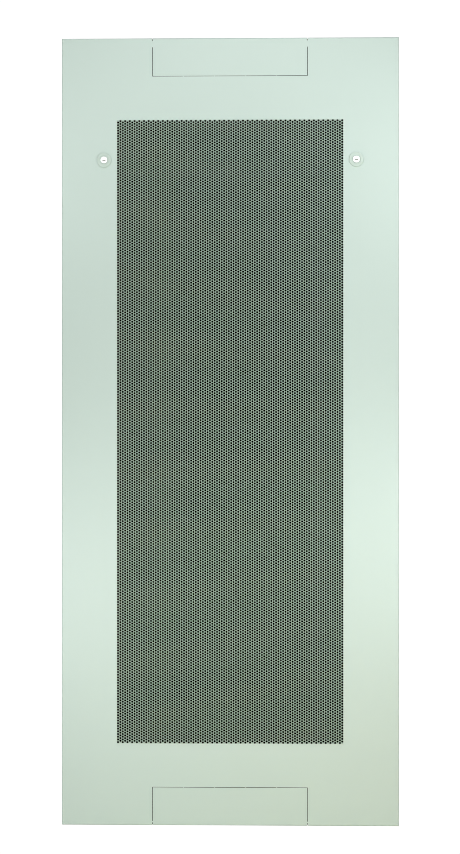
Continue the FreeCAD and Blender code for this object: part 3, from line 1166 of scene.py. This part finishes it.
@dataclass
class CamLock:
    """One cam lock: housing with bevelled head and threaded barrel, rounded cam, and dressed small parts."""

    side: Side
    front: float
    head_bevel: float = 1.5 * MM
    head_bevel_rise: float = 0.9 * MM
    bevel_rings: int = 7
    barrel_diameter: float = 18.0 * MM
    barrel_flats: float = 15.6 * MM
    barrel_chamfer: float = 0.6 * MM
    thread: Thread = Thread(pitch=1.0 * MM, depth=0.45 * MM)
    bore: float = 10.1 * MM
    groove_diameter: float = 13.2 * MM
    groove_depth: float = 0.9 * MM
    groove_slope: float = 0.25 * MM
    around: int = 96
    peg_inner: float = 5.8 * MM
    peg_outer: float = 7.7 * MM
    peg_near: float = 3.35 * MM
    peg_far: float = 4.6 * MM
    peg_length: float = 1.5 * MM
    cam_width: float = 18.0 * MM
    cam_tip_width: float = 14.0 * MM
    cam_corner: float = 3.5 * MM
    cam_waist: float = 30.0 * MM
    cam_arc_points: int = 12
    cam_edge: float = 0.35 * MM
    cam_hole: float = 7.16 * MM

    def name(self, part: str) -> str:
        """The node name of one of this lock's pieces."""
        return f"{self.side.label}_{part}"

    @property
    def axis(self) -> Vector:
        """The place that the plug turns about."""
        return joint_axis(self.name("lock_turn"))

    def _placed(self, skin: Skin) -> Skin:
        """A piece drawn about the right lock's axis, set at this lock."""
        return skin.moved(self.axis.x, self.axis.z, self.side)

    def housing(self) -> Skin:
        """Head with a bevelled rim and a groove round the plug, flatted and threaded barrel, bore, two pegs.

        One profile goes from the groove's floor over the head and the barrel to the bore's rear end, and is
        turned about Y. The barrel's rings are then cut off at its flats.

        Returns:
            The closed surface, about the right lock's axis.
        """
        low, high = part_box(self.name("lock_housing"))
        face, end = low.y, high.y - self.peg_length
        head, barrel, bore = (high.x - low.x) / 2, self.barrel_diameter / 2, self.bore / 2
        groove, floor = self.groove_diameter / 2, face + self.groove_depth
        curve = np.linspace(0, QUARTER_TURN, self.bevel_rings)
        rim_r = head - self.head_bevel * (1 - np.sin(curve))
        rim_y = face + self.head_bevel_rise * (1 - np.cos(curve))
        head_r = np.concatenate([[bore, groove - self.groove_slope, groove], rim_r, [head, barrel]])
        head_y = np.concatenate([[floor, floor, face], rim_y, [self.front, self.front]])
        tail_r = np.array([barrel - self.thread.depth - self.barrel_chamfer / 2, bore])
        thread_start = self.front + self.thread.step
        rings = np.concatenate([
            turned(head_r, head_y, self.around),
            self.thread.rings(barrel, thread_start, end - self.barrel_chamfer, self.around),
            turned(tail_r, np.array([end, end]), self.around),
        ])
        on_barrel = rings[len(head_r) - 1:, :, 2]
        np.clip(on_barrel, -self.barrel_flats / 2, self.barrel_flats / 2, out=on_barrel)
        locked = box_between((self.peg_inner, end, -self.peg_far), (self.peg_outer, high.y, -self.peg_near))
        opened = box_between((-self.peg_far, end, self.peg_inner), (-self.peg_near, high.y, self.peg_outer))
        return joined(ring_loop(rings), locked, opened)

    def cam(self) -> Skin:
        """Flat tongue with rounded corners, eased edges and a square hole on the plug's tail.

        Returns:
            The closed surface, about the right lock's axis.
        """
        low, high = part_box(self.name("cam"))
        root, tip = self.cam_width / 2, self.cam_tip_width / 2
        reach = high.x - low.x - root
        upper = np.array([(reach, tip), (root, root), (-root, root)])
        upper_radii = np.array([self.cam_corner, self.cam_waist, self.cam_corner])
        corners = np.concatenate([upper[::-1] * (1, -1), upper])
        radii = np.concatenate([upper_radii[::-1], upper_radii])
        outline = rounded_outline(corners, radii, self.cam_arc_points)
        inset = shrunk(outline, self.cam_edge)
        hole = outline / np.abs(outline).max(axis=1, keepdims=True) * self.cam_hole / 2
        rings = (
            (hole, low.y), (inset, low.y), (outline, low.y + self.cam_edge),
            (outline, high.y - self.cam_edge), (inset, high.y), (hole, high.y),
        )
        return ring_loop(np.array([at_station(*ring) for ring in rings]))

    def build(self, coat: bpy.types.Material, zinc: bpy.types.Material, brass: bpy.types.Material,
              effects: Effects) -> None:
        """Makes the housing and the cam, and dresses the small parts.

        Args:
            coat: finish of the housing.
            zinc: finish of the plated steel parts.
            brass: finish of the wafers, whose colour is darkened by painted shade.
            effects: the shared node groups.
        """
        housing, cam = self.name("lock_housing"), self.name("cam")
        for node, skin, material, slot, body in (
            (housing, self.housing(), coat, Slot.HOUSING, ROOT_BODY),
            (cam, self.cam(), zinc, Slot.ZINC, self.name("lock_rotor")),
        ):
            piece(f"{node}_skin", self._placed(skin), material, body, node, SHARP_EDGE)
        plate = TurnedPlate(self.name("plug_plate"), NICKEL, self.axis.x, self.axis.z)
        dressed(self.name("lock_plug"), plate.material(effects))
        dressed(self.name("lock_wafers"), brass)
        for part in ("stop_washer", "cam_washer", "cam_screw"):
            dressed(self.name(part), zinc)


@dataclass
class EarthStud:
    """The earthing stud: a threaded shank on the inside of the face, with its washer and nut."""

    thread: Thread = Thread(pitch=1.0 * MM, depth=0.5 * MM)
    chamfer: float = 0.7 * MM
    around: int = 48

    def stud(self) -> Skin:
        """Rings along the thread and over the chamfered end, closed at both ends.

        Returns:
            The closed surface in its place.
        """
        low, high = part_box("earth_stud")
        radius = (high.x - low.x) / 2
        rings = np.concatenate([
            self.thread.rings(radius, low.y, high.y - self.chamfer, self.around),
            turned(np.array([radius - self.chamfer]), np.array([high.y]), self.around),
        ])
        return capped_rings(rings).moved((low.x + high.x) / 2, (low.z + high.z) / 2)

    def build(self, zinc: bpy.types.Material, brass: bpy.types.Material) -> None:
        """Makes the stud, and dresses its washer and nut.

        Args:
            zinc: finish of the stud and the washer.
            brass: finish of the nut.
        """
        piece("earth_stud_skin", self.stud(), zinc, ROOT_BODY, "earth_stud", SHARP_EDGE)
        dressed("earth_washer", zinc)
        dressed("earth_nut", brass)


# Studio


@dataclass(frozen=True)
class SoftBox:
    """One area light that faces a point."""

    name: str
    place: Place
    aim: Place
    width: float
    height: float
    radiance: float
    colour: Colour = (1.0, 1.0, 1.0)

    def build(self) -> None:
        """Adds the light; its power is radiance times area times pi."""
        data = bpy.data.lights.new(self.name, "AREA")
        data.shape = "RECTANGLE"
        data.size, data.size_y = self.width, self.height
        data.energy = self.radiance * self.width * self.height * math.pi
        data.color = self.colour
        lamp = bpy.data.objects.new(self.name, data)
        lamp.location = self.place
        towards = Vector(self.aim) - Vector(self.place)
        lamp.rotation_euler = towards.to_track_quat("-Z", "Y").to_euler()
        lamp.visible_camera = False
        bpy.context.scene.collection.objects.link(lamp)


@dataclass
class Studio:
    """Pale floor, white surroundings, soft light, dark cards behind the openings as painted shade, and the
    camera.

    card_flange is how far the cards stay from the panel's ends, in thicknesses of the sheet. turn and rise
    are the camera's small angles in degrees.
    """

    tray: FoldedTray
    floor_size: float = 40.0
    floor_gap: float = 0.5 * MM
    floor_colour: Colour = (0.80, 0.77, 0.64)
    floor_roughness: float = 0.7
    surround: float = 0.451
    seen_white: float = 1.05
    # Colour of the cards behind the openings: painted shade, near black.
    card_colour: Colour = (0.002, 0.002, 0.002)
    card_gap: float = 2.5 * MM
    card_margin: float = 3.0 * MM
    card_flange: float = 1.5
    aim_height: float = 590.8 * MM
    distance: float = 3.0
    turn: float = 1.452
    rise: float = -0.079
    lens: float = 85.3
    crispness: float = 0.87
    boxes: tuple[SoftBox, ...] = (
        SoftBox("front_box", (0.0, -3.5, 1.45), (0.0, 0.0, 0.9), 2.0, 1.2, 1.3),
        SoftBox("upper_right_box", (0.36, -0.32, 1.0), (0.05, 0.0, 1.0), 0.2, 0.2, 4.35),
        SoftBox("upper_left_box", (-0.36, -0.32, 0.99), (-0.05, 0.0, 0.99), 0.2, 0.2, 2.55),
        SoftBox("lower_right_box", (0.35, -0.43, 0.44), (0.05, 0.0, 0.44), 0.2, 0.2, 7.9),
        SoftBox("lower_left_box", (-0.3, -0.47, 0.345), (-0.05, 0.0, 0.345), 0.2, 0.2, 7.3),
        SoftBox("top_box", (0.0, -0.38, 1.26), (0.0, 0.0, 1.16), 0.4, 0.15, 2.55),
        SoftBox("floor_glow", (0.28, -0.6, 0.04), (0.28, 0.0, 0.04), 0.6, 0.05, 4.45, (1.0, 0.75, 0.3)),
    )

    def _plate(self, name: str, corners: np.ndarray, material: bpy.types.Material) -> bpy.types.Object:
        """A flat stage piece of four-cornered faces.

        Args:
            name: name of the piece.
            corners: the faces' corners in turn.
            material: its finish.

        Returns:
            The new object.
        """
        mesh = bpy.data.meshes.new(name)
        mesh.from_pydata(corners.reshape(-1, 3), [], np.arange(corners.size // 3).reshape(-1, 4))
        mesh.materials.append(material)
        plate = bpy.data.objects.new(name, mesh)
        bpy.context.scene.collection.objects.link(plate)
        return plate

    def _floor(self) -> None:
        """A pale floor just under the part, which the camera sees as white as the surroundings."""
        material, sheet = new_material("studio_floor")
        seen = sheet.add("ShaderNodeLightPath").outputs["Is Camera Ray"]
        surface = {"Base Color": opaque(self.floor_colour), "Roughness": self.floor_roughness}
        pale = sheet.add("ShaderNodeBsdfPrincipled", surface)
        white = sheet.add("ShaderNodeEmission", {"Strength": self.seen_white})
        ended(sheet, sheet.either(seen, pale, white))
        half = self.floor_size / 2
        square = np.array([(-1, -1, 0), (1, -1, 0), (1, 1, 0), (-1, 1, 0)]) * half - (0, 0, self.floor_gap)
        self._plate("studio_floor", square, material)

    def _cards(self) -> None:
        """Dark cards in the tray, painted shade for the shadowed inside of the rack, seen only by the camera
        and from the front.
        """
        material, sheet = new_material("dark_card")
        dark = sheet.add("ShaderNodeBsdfDiffuse", {"Color": opaque(self.card_colour)})
        clear = sheet.add("ShaderNodeBsdfTransparent")
        behind = sheet.add("ShaderNodeNewGeometry").outputs["Backfacing"]
        ended(sheet, sheet.either(behind, dark, clear))
        tray = self.tray
        flange = self.card_flange * tray.sheet
        entry_top = tray.entry_height + self.card_margin
        entry_half = tray.entry_width / 2 + self.card_margin
        spans = (
            (tray.field_of_holes.half_width, *tray.field_of_holes.ends),
            (entry_half, flange, entry_top),
            (entry_half, tray.high.z - entry_top, tray.high.z - flange),
        )
        y = tray.low.y + self.card_gap
        corners = [
            [(-wide, y, low), (wide, y, low), (wide, y, high), (-wide, y, high)] for wide, low, high in spans]
        cards = self._plate("dark_cards", np.array(corners), material)
        for ray in ("shadow", "diffuse", "glossy", "transmission"):
            setattr(cards, f"visible_{ray}", False)

    def _surroundings(self) -> None:
        """White surroundings, which the camera sees as pure white and the part as a softer light."""
        world = bpy.data.worlds.new("studio_surround")
        world.use_nodes = True
        world.node_tree.nodes.clear()
        sheet = NodeSheet(world.node_tree)
        seen = sheet.add("ShaderNodeLightPath").outputs["Is Camera Ray"]
        strength = sheet.spread(seen, self.surround, self.seen_white)
        shade = sheet.add("ShaderNodeBackground", {"Color": (1.0, 1.0, 1.0, 1.0), "Strength": strength})
        sheet.add("ShaderNodeOutputWorld", {"Surface": shade.outputs[0]})
        bpy.context.scene.world = world

    def _camera(self) -> None:
        """The camera, turned and raised by small angles about a point on the face."""
        data = bpy.data.cameras.new("camera")
        data.lens = self.lens
        turn, rise = math.radians(self.turn), math.radians(self.rise)
        back = Vector((math.sin(turn) * math.cos(rise), -math.cos(turn) * math.cos(rise), math.sin(rise)))
        camera = bpy.data.objects.new("camera", data)
        camera.location = Vector((0.0, self.tray.low.y, self.aim_height)) + back * self.distance
        camera.rotation_euler = (-back).to_track_quat("-Z", "Y").to_euler()
        bpy.context.scene.collection.objects.link(camera)
        bpy.context.scene.camera = camera

    def build(self) -> None:
        """Sets up the whole studio."""
        self._floor()
        self._cards()
        self._surroundings()
        for box in self.boxes:
            box.build()
        self._camera()
        settings = bpy.context.scene.view_settings
        settings.view_transform = "Standard"
        settings.look = "None"
        bpy.context.scene.cycles.filter_width = self.crispness


def main() -> None:
    """Builds the finishes, every sub-assembly and the studio."""
    logging.basicConfig(level=logging.INFO, format="%(name)s: %(message)s")
    effects = Effects()
    zinc = ZINC.material(effects)
    wafer_brass = SHADED_WAFER_BRASS.material(effects)
    housing_coat = HOUSING_COAT.material(effects)
    sheet = PanelSheet()
    sheet.build(SHEET_COAT.material(effects), SHADED_WEB_COAT.material(effects))
    for side in Side:
        CamLock(side, sheet.tray.low.y).build(housing_coat, zinc, wafer_brass, effects)
    for node in ("lock_tooth_washers", "lock_nuts"):
        dressed(node, zinc)
    EarthStud().build(zinc, EARTH_BRASS.material(effects))
    Studio(sheet.tray).build()


if __name__ == "__main__":
    main()
